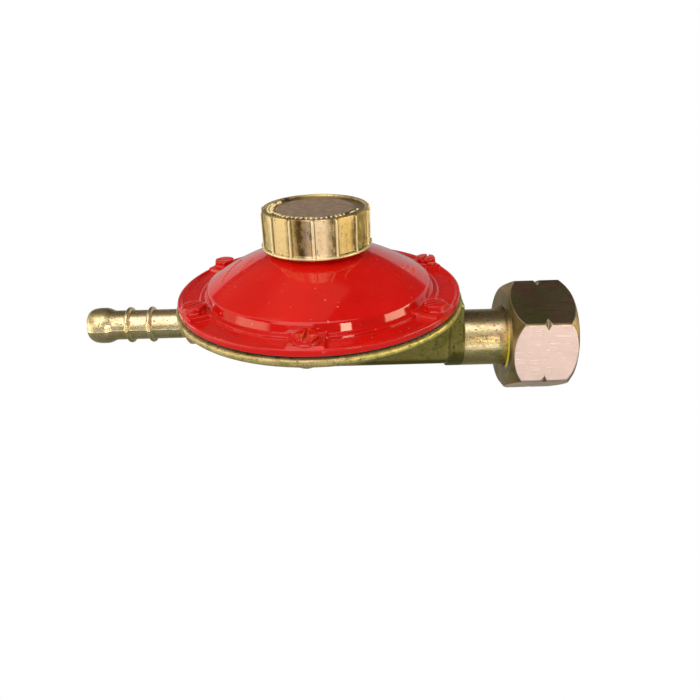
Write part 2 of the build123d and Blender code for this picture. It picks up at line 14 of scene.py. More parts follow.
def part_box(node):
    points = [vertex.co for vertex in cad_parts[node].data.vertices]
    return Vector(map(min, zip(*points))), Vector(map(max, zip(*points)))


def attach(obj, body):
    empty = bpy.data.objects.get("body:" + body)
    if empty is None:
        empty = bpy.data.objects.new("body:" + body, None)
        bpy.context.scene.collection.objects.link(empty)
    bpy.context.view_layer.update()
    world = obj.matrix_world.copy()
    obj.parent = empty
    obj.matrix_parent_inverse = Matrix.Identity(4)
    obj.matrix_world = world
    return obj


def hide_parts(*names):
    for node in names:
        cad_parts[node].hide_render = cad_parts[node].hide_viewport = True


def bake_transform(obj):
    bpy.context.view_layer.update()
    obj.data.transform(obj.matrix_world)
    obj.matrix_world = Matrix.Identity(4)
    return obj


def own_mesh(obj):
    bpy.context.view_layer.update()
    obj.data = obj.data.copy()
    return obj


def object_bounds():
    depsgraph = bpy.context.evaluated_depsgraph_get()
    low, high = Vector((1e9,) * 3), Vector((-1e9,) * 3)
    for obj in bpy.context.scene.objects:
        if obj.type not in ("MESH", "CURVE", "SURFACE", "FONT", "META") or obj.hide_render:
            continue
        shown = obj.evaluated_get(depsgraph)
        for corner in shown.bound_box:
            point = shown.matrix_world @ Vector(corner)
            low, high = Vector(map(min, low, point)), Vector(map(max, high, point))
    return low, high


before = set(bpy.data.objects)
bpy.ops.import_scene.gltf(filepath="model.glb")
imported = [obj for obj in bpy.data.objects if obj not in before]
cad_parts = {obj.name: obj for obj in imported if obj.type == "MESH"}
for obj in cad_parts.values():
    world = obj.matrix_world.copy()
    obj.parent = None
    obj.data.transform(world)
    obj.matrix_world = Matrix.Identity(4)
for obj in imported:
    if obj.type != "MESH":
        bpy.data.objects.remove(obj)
cad_low, cad_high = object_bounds()

scene = bpy.context.scene
MM = 0.001
weld_gap = 0.0002 * MM
turn = 2 * pi


def box_mm(node):
    """Lowest and highest corner of a CAD node in millimetres."""
    low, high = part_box(node)
    return np.array(low) / MM, np.array(high) / MM


cover_low, cover_high = box_mm("cover")
casting_low, casting_high = box_mm("casting")
cap_low, cap_high = box_mm("adjusting_cap")
screws_low = box_mm("cover_screws")[0]
nut_low, nut_high = box_mm("union_nut")
spring_low, spring_high = box_mm("main_spring")
seat_high = box_mm("spring_seat")[1]
axis_x = (cover_low[0] + cover_high[0]) / 2


# ---- mesh helpers

def softened(corners, size, steps=3):
    """A closed outline with its corners rounded; a third value on a corner is its own size."""
    outline = []
    for place, corner in enumerate(corners):
        here = np.array(corner[:2], float)
        want = corner[2] if len(corner) > 2 else size
        before = np.array(corners[place - 1][:2], float) - here
        after = np.array(corners[(place + 1) % len(corners)][:2], float) - here
        reach = min(want, 0.45 * np.linalg.norm(before), 0.45 * np.linalg.norm(after))
        if reach < 0.001:
            outline.append(here)
            continue
        start = here + before / np.linalg.norm(before) * reach
        end = here + after / np.linalg.norm(after) * reach
        for step in range(steps + 1):
            t = step / steps
            outline.append((1 - t) ** 2 * start + 2 * t * (1 - t) * here + t * t * end)
    return np.array(outline)


def divided(outline, longest):
    """The closed outline with points added, so that no run is longer than longest."""
    points = []
    for place, here in enumerate(outline):
        ahead = outline[(place + 1) % len(outline)]
        parts = max(1, int(np.ceil(np.linalg.norm(ahead - here) / longest)))
        points += [here + (ahead - here) * part / parts for part in range(parts)]
    return np.array(points)


def smoothstep(value, low, high):
    """0 at low and 1 at high, with a soft start and end."""
    t = np.clip((value - low) / (high - low), 0, 1)
    return t * t * (3 - 2 * t)


def upright_points(r, z, angles, centre_x=0.0):
    """Points at radius r and height z in every direction about an upright axis."""
    return np.stack([centre_x + r * np.cos(angles), r * np.sin(angles), z + 0 * angles], axis=-1)


def level_points(x, r, angles, axis_z=0.0):
    """Points at x and radius r about an axis along X; angle 0 is +Y, a quarter is +Z."""
    return np.stack([x + 0 * angles, r * np.cos(angles), axis_z + r * np.sin(angles)], axis=-1)


def closed_faces(rows, columns, first=0):
    """Quads of a grid that closes on itself in both directions."""
    return [
        (first + i * columns + j,
         first + i * columns + (j + 1) % columns,
         first + (i + 1) % rows * columns + (j + 1) % columns,
         first + (i + 1) % rows * columns + j)
        for i in range(rows)
        for j in range(columns)
    ]


def linked(name, data):
    """An object that holds data, put into the scene."""
    made = bpy.data.objects.new(name, data)
    scene.collection.objects.link(made)
    return made


def mesh_object(name, points, faces):
    """A mesh object from points in millimetres, welded, with its normals outward."""
    mesh = bpy.data.meshes.new(name)
    mesh.from_pydata((np.asarray(points, float).reshape(-1, 3) * MM).tolist(), [], faces)
    tool = bmesh.new()
    tool.from_mesh(mesh)
    bmesh.ops.remove_doubles(tool, verts=tool.verts, dist=weld_gap)
    bmesh.ops.dissolve_degenerate(tool, edges=tool.edges, dist=weld_gap)
    loose = [edge for edge in tool.edges if not edge.link_faces]
    bmesh.ops.delete(tool, geom=loose, context="EDGES")
    bmesh.ops.recalc_face_normals(tool, faces=tool.faces)
    for face in tool.faces:
        face.smooth = True
    tool.to_mesh(mesh)
    tool.free()
    return linked(name, mesh)


def grid_object(name, points):
    """A solid from a (rows, columns, 3) array that closes in both directions."""
    rows, columns = points.shape[:2]
    return mesh_object(name, points, closed_faces(rows, columns))


def bake(piece):
    """Puts the result of a piece's modifiers into its mesh."""
    graph = bpy.context.evaluated_depsgraph_get()
    made = bpy.data.meshes.new_from_object(piece.evaluated_get(graph))
    piece.modifiers.clear()
    piece.data = made


def joined(name, parts):
    """One object holding the meshes of all parts."""
    tool = bmesh.new()
    for part in parts:
        tool.from_mesh(part.data)
        bpy.data.objects.remove(part)
    mesh = bpy.data.meshes.new(name)
    tool.to_mesh(mesh)
    tool.free()
    return linked(name, mesh)


def reskinned(piece, size, smooth=True):
    """Adds the modifier that remakes a piece as one skin of even faces, size millimetres wide."""
    skin = piece.modifiers.new("skin", "REMESH")
    skin.mode = "VOXEL"
    skin.voxel_size = size * MM
    skin.use_smooth_shade = smooth


def relaxed(piece, keep):
    """Softens a piece's corners, keeps that share of its faces, and bakes it."""
    soft = piece.modifiers.new("soft", "SMOOTH")
    soft.factor = 0.5
    soft.iterations = 3
    thin = piece.modifiers.new("thin", "DECIMATE")
    thin.ratio = keep
    bake(piece)


def cut_away(piece, tool, solver):
    """Cuts the shape of an open mesh tool out of a piece."""
    mesh = bpy.data.meshes.new("cutter")
    tool.to_mesh(mesh)
    tool.free()
    cutter = linked("cutter", mesh)
    cut = piece.modifiers.new("cut", "BOOLEAN")
    cut.operation = "DIFFERENCE"
    cut.object = cutter
    cut.solver = solver
    bake(piece)
    bpy.data.objects.remove(cutter)


def settle(piece, body, node, material, crisp=True):
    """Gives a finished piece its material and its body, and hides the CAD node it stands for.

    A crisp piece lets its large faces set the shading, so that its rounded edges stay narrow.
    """
    if crisp:
        normals = piece.modifiers.new("weighted normals", "WEIGHTED_NORMAL")
        normals.keep_sharp = True
        normals.weight = 60
    piece.data.materials.clear()
    piece.data.materials.append(material)
    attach(piece, body)
    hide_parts(node)


def even_angles(count):
    """Directions evenly round a turn."""
    return np.arange(count) * turn / count


def featured_turn(first, count, offsets, height, gap_count):
    """Directions round a turn, close together at each feature, and how much of its height each one has.

    The offsets are a feature's directions from its middle, in one row or in one for each ring of points.
    """
    pitch = turn / count
    start, end = offsets[..., -1:], pitch + offsets[..., :1]
    gap = start + (end - start) * np.arange(1, gap_count + 1) / (gap_count + 1)
    angles, share = [], []
    for number in range(count):
        middle = first + pitch * number
        angles += [middle + offsets, middle + gap]
        share += [height, np.zeros(gap_count)]
    return np.concatenate(angles, axis=-1), np.concatenate(share)


# ---- shader helpers

def tone(colour):
    """A colour given as on a screen, three values up to 255, in the linear values that a shader needs."""
    if not isinstance(colour, tuple) or len(colour) == 4:
        return colour
    return (*[((c / 255 + 0.055) / 1.055) ** 2.4 if c > 10 else c / 255 / 12.92 for c in colour], 1.0)


class Graph:
    """A node tree that is written like a formula: each call adds a node and gives its output."""

    def __init__(self, name):
        self.material = bpy.data.materials.new(name)
        self.material.use_nodes = True
        self.tree = self.material.node_tree
        self.tree.nodes.clear()
        place = self.add("TexCoord", out="Object")
        self.place = self.vector("SCALE", place, Scale=1 / MM)
        self.colour = None

    def add(self, kind, inputs=None, out=0, **settings):
        node = self.tree.nodes.new("ShaderNode" + kind)
        for key, value in settings.items():
            setattr(node, key, value)
        for key, value in (inputs or {}).items():
            if isinstance(value, bpy.types.NodeSocket):
                self.tree.links.new(value, node.inputs[key])
            else:
                node.inputs[key].default_value = value
        return node.outputs[out] if len(node.outputs) else None

    def vector(self, operation, a, b=(0, 0, 0), **named):
        return self.add("VectorMath", {0: a, 1: b, **named}, operation=operation)

    def math(self, operation, a, b=0.0, c=0.0):
        return self.add("Math", {0: a, 1: b, 2: c}, operation=operation)

    def times(self, a, b):
        return self.math("MULTIPLY", a, b)

    def plus(self, a, b):
        return self.math("ADD", a, b)

    def minus(self, a, b):
        return self.math("SUBTRACT", a, b)

    def larger(self, a, b):
        return self.math("MAXIMUM", a, b)

    def radius(self, a, b):
        """Distance from the line on which a and b are both 0."""
        return self.math("SQRT", self.plus(self.times(a, a), self.times(b, b)))

    def split(self, vector):
        return self.add("SeparateXYZ", {0: vector}, out=slice(0, 3))

    def noise(self, scale, detail=3.0, rough=0.55, stretch=(1, 1, 1), shift=0.0, distort=0.0):
        """Noise of about 1/scale millimetres."""
        offset = (shift, shift * 0.7, shift * 1.3)
        place = self.add("Mapping", {"Vector": self.place, "Scale": stretch, "Location": offset})
        look = {"Scale": scale, "Detail": detail, "Roughness": rough, "Distortion": distort}
        return self.add("TexNoise", {"Vector": place, **look})

    def remap(self, value, low, high, to_low=0.0, to_high=1.0):
        """From low to high, the value goes softly from to_low to to_high; beyond them it stays there."""
        inputs = {"Value": value, "From Min": low, "From Max": high, "To Min": to_low, "To Max": to_high}
        return self.add("MapRange", inputs, interpolation_type="SMOOTHSTEP")

    def between(self, value, low, high, soft):
        """1 where value lies between low and high, 0 elsewhere, with soft sides."""
        rise = self.remap(value, low - soft, low + soft)
        fall = self.remap(value, high - soft, high + soft, 1.0, 0.0)
        return self.times(rise, fall)

    def ramp(self, value, stops):
        out = self.add("ValToRGB", {0: value})
        line = out.node.color_ramp.elements
        while len(line) < len(stops):
            line.new(0.5)
        for element, (position, colour) in zip(line, stops):
            element.position = position
            element.color = tone(colour)
        return out

    def mix(self, share, a, b, mode="MIX"):
        inputs = {0: share, 6: tone(a), 7: tone(b)}
        return self.add("Mix", inputs, out=2, data_type="RGBA", blend_type=mode)

    def overlay(self, mask, other, mode="MIX"):
        """Turns the colour into another where the mask is 1."""
        self.colour = self.mix(mask, self.colour, other, mode)

    def tinge(self, mask, share, other):
        """Turns the colour towards another by that share where the mask is 1."""
        self.overlay(self.times(mask, share), other)

    def stain(self, value, low, high, share, other):
        """Turns the colour towards another by up to that share as value goes from low to high."""
        self.overlay(self.remap(value, low, high, 0.0, share), other)

    def bumps(self, *layers):
        """The normal of bumps one over another, each a height and how many millimetres 1 is."""
        normal = None
        for height, depth in layers:
            inputs = {"Height": height, "Distance": depth * MM, "Strength": 1.0}
            if normal is not None:
                inputs["Normal"] = normal
            normal = self.add("Bump", inputs)
        return normal

    def edge_highlight_mask(self, radius, low, high):
        """1 on sharp convex edges, 0 on flat ground: how far a rounded normal leans from the true one. The
        materials paint highlights along edges with it.
        """
        rounded = self.add("Bevel", {"Radius": radius * MM}, samples=6)
        true = self.add("NewGeometry", out="Normal")
        lean = self.add("VectorMath", {0: rounded, 1: true}, out="Value", operation="DOT_PRODUCT")
        return self.remap(self.minus(1.0, lean), low, high)

    def glowing(self, colour, strength):
        """The finished material, which only gives light."""
        glow = self.add("Emission", {"Color": colour, "Strength": strength})
        self.add("OutputMaterial", {"Surface": glow})
        return self.material

    def finish(self, **inputs):
        """The finished material: its colour, and the other inputs of its Principled surface."""
        inputs = {name.replace("_", " "): value for name, value in inputs.items()}
        surface = self.add("BsdfPrincipled", {"Base Color": self.colour, **inputs})
        self.add("OutputMaterial", {"Surface": surface})
        return self.material


# ---- materials

def red_paint(name, shift=0.0):
    """Thick glossy red enamel with a faint orange peel and dust."""
    g = Graph(name)
    broad = g.noise(0.06, 2, shift=3 + shift)
    peel = g.noise(0.9, 2, 0.5, shift=11 + shift)
    dust = g.noise(1.15, 1, 0.4, shift=23 + shift)
    g.colour = g.ramp(broad, [(0.3, (0.48, 0.0030, 0.0012, 1)), (0.7, (0.57, 0.0050, 0.0020, 1))])
    # painted highlight: a lighter orange-red along the convex edges stands in for thin highlight lines
    edge = g.edge_highlight_mask(0.3, 0.012, 0.09)
    g.tinge(edge, 0.85, (0.88, 0.17, 0.09, 1))
    speck = g.remap(dust, 0.762, 0.775)
    g.tinge(speck, 0.5, (0.85, 0.28, 0.25, 1))
    rough = g.remap(g.noise(0.25, 3, shift=31), 0.3, 0.7, 0.24, 0.34)
    normal = g.bumps((peel, 0.012), (speck, 0.03))
    return g.finish(
        Roughness=rough, Normal=normal, IOR=1.5, Specular_IOR_Level=0.06,
        Coat_Weight=1.0, Coat_Roughness=0.018, Coat_IOR=1.5, Coat_Normal=g.bumps((peel, 0.006)),
    )


def chromate(name, light_tint=None, stretch=(1, 1, 1), rough=(0.30, 0.52), grain=0.11, shift=0.0, top_shade=0.0):
    """Yellow chromate on zinc: olive and straw patches with pink and green bloom over a fine grain.

    Without a light tint it is that of the cast body, with painted light and shade by place: pinkish on the
    left, dark on the web, bright on the rim. A light tint brightens a lit copy of it. Faces that look down
    turn olive, and with top_shade faces that look up turn dark, as painted shade.
    """
    g = Graph(name)
    patch = g.noise(0.16, 4, 0.6, stretch, shift=shift + 2, distort=0.6)
    bloom = g.noise(0.33, 3, 0.6, stretch, shift=shift + 17, distort=0.8)
    fine = g.noise(2.6, 4, 0.65, stretch, shift=shift + 5)
    pits = g.noise(1.3, 2, 0.5, shift=shift + 41)
    g.colour = g.ramp(patch, [
        (0.28, (150, 138, 84)), (0.42, (206, 192, 134)),
        (0.55, (228, 214, 168)), (0.72, (188, 176, 108)),
    ])
    g.stain(bloom, 0.53, 0.68, 0.6, (232, 190, 164))
    g.stain(bloom, 0.46, 0.33, 0.55, (140, 148, 92))
    g.stain(fine, 0.52, 0.68, 0.45, (116, 100, 52))
    g.stain(fine, 0.46, 0.32, 0.35, (246, 234, 190))
    speck = g.remap(pits, 0.62, 0.70, 0.0, 0.8)
    g.overlay(speck, (80, 66, 38))
    normal_z = g.split(g.add("NewGeometry", out="Normal"))[2]
    # a light tint brightens this copy as painted light; without one the cast body gets painted light and
    # shade by place
    if light_tint:
        olive = 0.7
        shade = (*light_tint, 1)
    else:
        x, y, z = g.split(g.place)
        right = g.remap(x, axis_x + 4, axis_x + 16)
        olive = g.math("MULTIPLY_ADD", right, 0.6, 0.1)
        under = g.mix(right, (1.15, 0.96, 0.90, 1), (0.42, 0.43, 0.22, 1))
        rim = g.mix(right, (0.98, 0.95, 0.76, 1), (1.05, 1.10, 0.62, 1))
        shade = g.mix(g.remap(z, web_top, rim_bottom), under, rim)
    # painted shade: faces that look down turn olive, and faces that look up turn dark by top_shade
    g.stain(normal_z, 0.15, -0.25, olive, (122, 124, 58))
    g.stain(normal_z, 0.70, 0.95, top_shade, (84, 76, 44))
    g.overlay(1.0, shade, "MULTIPLY")
    roughness = g.remap(fine, 0.3, 0.7, rough[0], rough[1])
    normal = g.bumps((fine, grain), (g.times(speck, -1.0), 0.04))
    return g.finish(Metallic=0.85, Roughness=roughness, Normal=normal)


def nut_plating(name):
    """Chromated steel, ground along its length, in patches of creamy pink and olive; painted reflections
    colour its faces by the way they face, with painted highlights on its edges and a painted yellow
    reflection of the stem by the rear hole.
    """
    g = Graph(name)
    lines = g.noise(3.4, 5, 0.7, (0.05, 1, 1), shift=4)
    patch = g.noise(0.12, 4, 0.6, (0.7, 1, 1), shift=9, distort=0.5)
    bloom = g.noise(0.22, 3, 0.6, shift=29, distort=0.7)
    pits = g.noise(1.1, 2, 0.5, shift=37)
    g.colour = g.ramp(patch, [
        (0.3, (176, 156, 104)), (0.5, (226, 200, 168)), (0.7, (196, 168, 112)),
    ])
    g.stain(bloom, 0.5, 0.66, 0.5, (236, 198, 178))
    g.stain(lines, 0.35, 0.25, 0.35, (150, 128, 92))
    speck = g.remap(pits, 0.70, 0.76, 0.0, 0.5)
    g.overlay(speck, (88, 74, 50))
    # painted reflections set by facing direction: olive end faces, darker upward flats, pinkish white on the
    # flats facing the viewer
    x, y, z = g.split(g.add("NewGeometry", out="Normal"))
    ends = g.remap(g.math("ABSOLUTE", x), 0.25, 0.6)
    olive = g.mix(g.remap(patch, 0.38, 0.62), (112, 106, 52), (156, 132, 76))
    g.tinge(ends, 0.85, olive)
    sky = g.times(g.remap(z, 0.35, 0.6), g.minus(1.0, ends))
    g.overlay(sky, g.mix(g.remap(patch, 0.38, 0.62), (118, 116, 76), (134, 108, 88)))
    front = g.times(g.remap(y, -0.75, -0.95), g.minus(1.0, ends))
    g.tinge(front, 0.75, (246, 218, 212))
    # painted reflection of the yellow stem: a yellow ring round the rear hole, on the viewer's side
    hole_x, hole_y, hole_z = g.split(g.place)
    ring = g.between(g.radius(hole_y, hole_z), 8.6, 11.4, 0.2)
    stem_reflection = g.times(ring, g.remap(hole_x, nut_low[0] + 1.2, nut_low[0] + 0.9))
    stem_reflection = g.times(stem_reflection, g.times(g.remap(hole_y, -3.0, -6.0), g.between(hole_z, -5.5, 6.5, 1.5)))
    g.overlay(stem_reflection, (226, 208, 48))
    # painted highlight along the edges
    edge_highlight = g.edge_highlight_mask(0.4, 0.01, 0.06)
    g.tinge(edge_highlight, 0.55, (255, 238, 226))
    metal = g.minus(0.9, g.times(g.larger(edge_highlight, stem_reflection), 0.7))
    roughness = g.remap(lines, 0.3, 0.7, 0.26, 0.46)
    normal = g.bumps((lines, 0.02), (g.times(speck, -1.0), 0.03))
    return g.finish(Metallic=metal, Roughness=roughness, Normal=normal, Anisotropic=0.35)


def gold_plating(name):
    """Pale gold on a die-cast cap, mottled, with darker upright streaks and a dull disc on top; painted
    reflections lie round it in light and dark bands, with painted highlights and shade at its ribs, ticks and
    edges.
    """
    g = Graph(name)
    mottle = g.noise(0.55, 5, 0.65, (1, 1, 0.6), shift=6)
    fine = g.noise(2.4, 4, 0.7, (1, 1, 0.45), shift=12)
    x, y, z = g.split(g.vector("SUBTRACT", g.place, (axis_x, 0, 0)))
    angle = g.times(g.math("ARCTAN2", y, x), 1 / turn)
    share = g.plus(angle, 0.5)
    dark = (112, 84, 46)
    pale = (236, 212, 150)
    straw = (218, 190, 112)
    pink = (250, 224, 184)
    # painted reflections: light and dark upright bands set by the direction round the cap
    g.colour = g.ramp(share, [
        (0.00, straw), (0.08, (160, 140, 76)), (0.125, pale), (0.165, pale), (0.178, dark),
        (0.19, straw), (0.205, dark), (0.218, dark), (0.235, pink), (0.28, pink), (0.305, (84, 64, 36)),
        (0.33, (226, 196, 122)), (0.36, straw), (0.375, dark), (0.40, (176, 158, 72)),
        (0.45, straw), (0.55, pale), (0.63, dark), (0.68, pale), (0.80, straw), (0.86, dark), (0.90, pale),
    ])
    g.stain(mottle, 0.45, 0.62, 0.55, pale)
    g.stain(mottle, 0.42, 0.3, 0.55, (104, 80, 44))
    g.stain(fine, 0.56, 0.70, 0.75, (98, 74, 40))
    radius = g.radius(x, y)
    # painted highlight on each rib's crest, and painted shadow on the ground beside it
    pitch = g.minus(share, first_rib_angle / turn + 0.5)
    pitch = g.math("FRACT", g.plus(g.times(pitch, cap_ribs), cap_ribs + 0.5))
    beside = g.times(g.minus(pitch, 0.5), turn * cap_r / cap_ribs)
    upright = g.remap(radius, cap_r - 0.35, cap_r - 0.2)
    crest = g.times(upright, g.between(beside, -0.26, 0.08, 0.06))
    g.tinge(crest, 0.6, (250, 230, 176))
    shade = g.times(upright, g.between(beside, 0.3, 0.62, 0.1))
    shade = g.larger(shade, g.times(upright, g.between(beside, -0.62, -0.42, 0.06)))
    g.tinge(shade, 0.75, (72, 52, 26))
    inside = g.remap(radius, ring_inner_r - 0.2, ring_inner_r + 0.1, 1.0, 0.0)
    channel = g.between(radius, ring_inner_r + 0.1, ring_outer_r, 0.15)
    below_top = g.minus(cap_high[2], z)
    # painted shade on the ring channel's floor, and a painted highlight on the raised ticks
    sunk = g.times(channel, g.remap(below_top, 0.35, 0.5))
    g.tinge(sunk, 0.75, (128, 104, 60))
    proud = g.times(channel, g.remap(below_top, 0.32, 0.12))
    g.tinge(proud, 0.8, (244, 222, 170))
    top = g.times(inside, g.remap(below_top, 0.9, 0.6))
    disc = g.mix(g.remap(mottle, 0.35, 0.65), (190, 164, 142), (216, 194, 168))
    g.overlay(top, disc)
    # painted highlight on the edges, the rib faces and the flared lip
    edge_highlight = g.edge_highlight_mask(0.35, 0.008, 0.06)
    edge_highlight = g.larger(edge_highlight, g.remap(radius, cap_r + 0.2, cap_r + 0.42))
    g.tinge(edge_highlight, 0.5, (255, 238, 186))
    # less metal where highlights are painted, so that they read bright
    painted_highlight_share = g.larger(g.larger(proud, g.times(crest, 0.3)), g.times(edge_highlight, 0.4))
    metal = g.minus(0.92, g.times(painted_highlight_share, 0.8))
    roughness = g.remap(mottle, 0.3, 0.7, 0.26, 0.44)
    roughness = g.plus(roughness, g.times(top, 0.22))
    normal = g.bumps((fine, 0.03), (mottle, 0.06))
    return g.finish(Metallic=metal, Roughness=roughness, Normal=normal)


def worked_metal(name, light, dark, rough=(0.25, 0.45), stretch=(1, 1, 0.15), grain=0.02, shift=0.0):
    """Turned or pressed metal: fine lines along one direction, and a few darker stains."""
    g = Graph(name)
    lines = g.noise(2.2, 4, 0.7, stretch, shift=shift + 3)
    stain = g.noise(0.3, 4, 0.6, shift=shift + 19)
    g.colour = g.mix(g.remap(stain, 0.4, 0.68), light, dark)
    g.stain(lines, 0.42, 0.3, 0.4, dark)
    roughness = g.remap(lines, 0.3, 0.7, rough[0], rough[1])
    return g.finish(Metallic=0.95, Roughness=roughness, Normal=g.bumps((lines, grain)))


def sintered(name):
    """Bronze beads pressed together."""
    g = Graph(name)
    beads = g.add("TexVoronoi", {"Vector": g.place, "Scale": 3.2}, out="Distance")
    # painted shade: each bead light at its middle, dark in the gaps between beads
    g.colour = g.ramp(beads, [(0.0, (196, 160, 96)), (0.35, (150, 114, 62)), (0.7, (50, 38, 24))])
    return g.finish(Metallic=0.9, Roughness=0.45, Normal=g.bumps((g.times(beads, -1.0), 0.14)))


def moulded(name, light, dark, rough, grain, fabric=0.0):
    """Rubber or plastic with a fine moulded surface, and a woven insert if fabric is above 0."""
    g = Graph(name)
    fine = g.noise(3.5, 4, 0.6, shift=8)
    broad = g.noise(0.3, 3, shift=21)
    g.colour = g.mix(g.remap(broad, 0.35, 0.7), dark, light)
    layers = [(fine, grain)]
    if fabric:
        x, y, z = g.split(g.vector("SCALE", g.place, Scale=fabric))
        weave = g.times(g.math("SINE", x), g.math("SINE", y))
        g.stain(weave, 0.2, 0.9, 0.35, light)
        layers.append((weave, 0.05))
    roughness = g.remap(fine, 0.3, 0.7, rough - 0.08, rough + 0.08)
    return g.finish(Roughness=roughness, Normal=g.bumps(*layers))


# ---- raised marks

block_corners = ((-1, -1), (1, -1), (1, 1), (-1, 1))


def raised_block(place, levels):
    """A small block of three levels, each a (height, width share) pair.

    The function place gives the point for a corner's two signs, its width share and its height.
    """
    points = [place(out, side, share, rise) for rise, share in levels for out, side in block_corners]
    sides = [
        (level + k, level + (k + 1) % 4, level + 4 + (k + 1) % 4, level + 4 + k)
        for level in (0, 4) for k in range(4)
    ]
    return mesh_object("mark", points, [(3, 2, 1, 0), (8, 9, 10, 11), *sides])


# ---- cover

cover_bottom = cover_low[2]
cover_r = (cover_high[0] - cover_low[0]) / 2
neck_top = cover_high[2]
neck_bore_r = seat_high[0] - axis_x + 0.1
lug_top = 18.4
screw_count = 6
first_screw_angle = radians(-92.7)
screw_pitch_r = 36.9
rim_top = 17.8
lip_w = 1.15
recess_z = 17.2
step_r, step_z = 34.2, 18.05
wall_foot_r = 32.6
dome_edge_r, dome_edge_z = 31.7, 20.7
dome_top_r, dome_top_z = 16.0, 28.4
dome_bulge = 0.35
neck_r = 13.0
chamber_r = 30.0


def dome_line(count=26):
    """The dome from its edge up to the foot of the neck fillet, slightly bulged."""
    points = []
    rise = dome_top_z - dome_edge_z
    run = dome_edge_r - dome_top_r
    length = sqrt(rise * rise + run * run)
    for k in range(count + 1):
        t = k / count
        swell = 4 * t * (1 - t) * dome_bulge
        points.append((
            dome_edge_r - 0.15 - (run - 0.15) * t + swell * rise / length,
            dome_edge_z + rise * t + swell * run / length,
            0.0 if 0 < k else 0.3,
        ))
    return points


def cover_outline():
    """Half section of the cover, as (r, z, corner size)."""
    corners = [
        (neck_bore_r, neck_top, 0.3),
        (neck_bore_r, dome_top_z - 0.6, 0.2),
        (dome_top_r - 1.8, dome_top_z - 2.4, 0.4),
        (dome_edge_r - 2.2, dome_edge_z - 1.8, 0.8),
        (chamber_r, cover_bottom + 1.0, 0.4),
        (chamber_r, cover_bottom, 0.1),
        (cover_r, cover_bottom, 0.18),
        (cover_r, rim_top, 0.4),
        (cover_r - lip_w + 0.15, rim_top, 0.35),
        (cover_r - lip_w - 0.05, recess_z, 0.28),
        (step_r + 0.1, recess_z, 0.25),
        (step_r - 0.05, step_z, 0.36),
        (wall_foot_r, step_z, 0.3),
        (dome_edge_r + 0.12, dome_edge_z - 0.42, 0.3),
        *dome_line(),
        (neck_r + 1.55, dome_top_z + 0.75, 0.8),
        (neck_r + 0.35, dome_top_z + 1.3, 0.8),
        (neck_r, dome_top_z + 2.2, 0.6),
        (neck_r, neck_top, 0.4),
    ]
    return divided(softened(corners, 0.2), 1.3)


def lug_columns():
    """Sideways places across a lug, and how much of the lug's height each one has."""
    half = np.array([0, 1.4, 2.8, 4.0, 4.42, 4.54, 4.64, 4.74, 4.84, 4.96, 5.1])
    across = np.concatenate([-half[:0:-1], half])
    return across, 1 - smoothstep(np.abs(across), 4.42, 5.1)


def build_cover():
    """The cover: its outline swept round, raised to flat lugs under the screws, drilled, with its marks."""
    outline = cover_outline()
    across, raised = lug_columns()
    r = outline[:, 0]
    reach = np.maximum(r, wall_foot_r - 0.4)[:, None]
    offsets = np.arcsin(across / reach)
    angles, share = featured_turn(first_screw_angle, screw_count, offsets, raised, gap_count=34)
    z = outline[:, 1:] + 0 * angles
    ceiling = lug_top - 0.9 * smoothstep(r, cover_r - 0.62, cover_r - 0.22)[:, None]
    on_top = (r > wall_foot_r - 0.6) & (outline[:, 1] > recess_z - 0.2)
    lift = np.maximum(ceiling - z, 0) * on_top[:, None]
    shell = grid_object("shell", upright_points(r[:, None], z + lift * share, angles, axis_x))
    drill(shell)
    piece = joined("cover_shell", [shell, *dome_marks()])
    settle(piece, "regulator", "cover", red_paint("red enamel"))


def dome_height(radius):
    """Height of the dome's outside at a radius."""
    line = np.array([point[:2] for point in dome_line()])[::-1]
    return float(np.interp(radius, line[:, 0], line[:, 1]))


def dome_marks():
    """Short raised dashes in rows on the dome's flanks, which stand in for cast marks."""
    order = np.random.default_rng(11)
    marks = []
    # each row: how many, and the radius and direction in degrees of its first and last dash
    for count, start, end in (
        (10, (27.6, -165), (23.0, -187)), (6, (22.2, -163), (18.6, -173)),
        (4, (27.2, -14), (27.2, -4)), (4, (25.6, -13), (25.6, -4)), (3, (24.1, -12), (24.1, -6)),
    ):
        for step in range(count):
            share = step / (count - 1)
            radius = start[0] + (end[0] - start[0]) * share
            around = radians(start[1] + (end[1] - start[1]) * share)
            marks.append(dome_mark(radius, around, order.uniform(0.28, 0.42), order.uniform(0.25, 0.45)))
    return marks


def dome_mark(radius, around, long, wide):
    """One raised dash that follows the dome's slope."""
    def place(out, side, share, rise):
        r = radius + out * long * share
        a = around + side * wide * share / radius
        return axis_x + r * cos(a), r * sin(a), dome_height(r) + rise

    return raised_block(place, ((-0.3, 1.0), (0.16, 0.95), (0.24, 0.6)))


def drill(piece):
    """The breather hole through the wall under the dome's edge, at the back."""
    vent_angle = radians(62)
    vent_r = 0.9
    middle = Vector((
        axis_x + (dome_edge_r - 1.2) * cos(vent_angle),
        (dome_edge_r - 1.2) * sin(vent_angle),
        (step_z + dome_edge_z) / 2,
    )) * MM
    outward = Matrix.Rotation(vent_angle, 4, "Z") @ Matrix.Rotation(pi / 2, 4, "Y")
    tool = bmesh.new()
    bmesh.ops.create_cone(
        tool, cap_ends=True, segments=24, radius1=vent_r * MM, radius2=vent_r * MM, depth=8 * MM,
        matrix=Matrix.Translation(middle) @ outward,
    )
    cut_away(piece, tool, "EXACT")


# ---- screws

# how far each screw's slot is turned, in degrees
slot_turns = (86, 20, 65, 150, 8, 40)


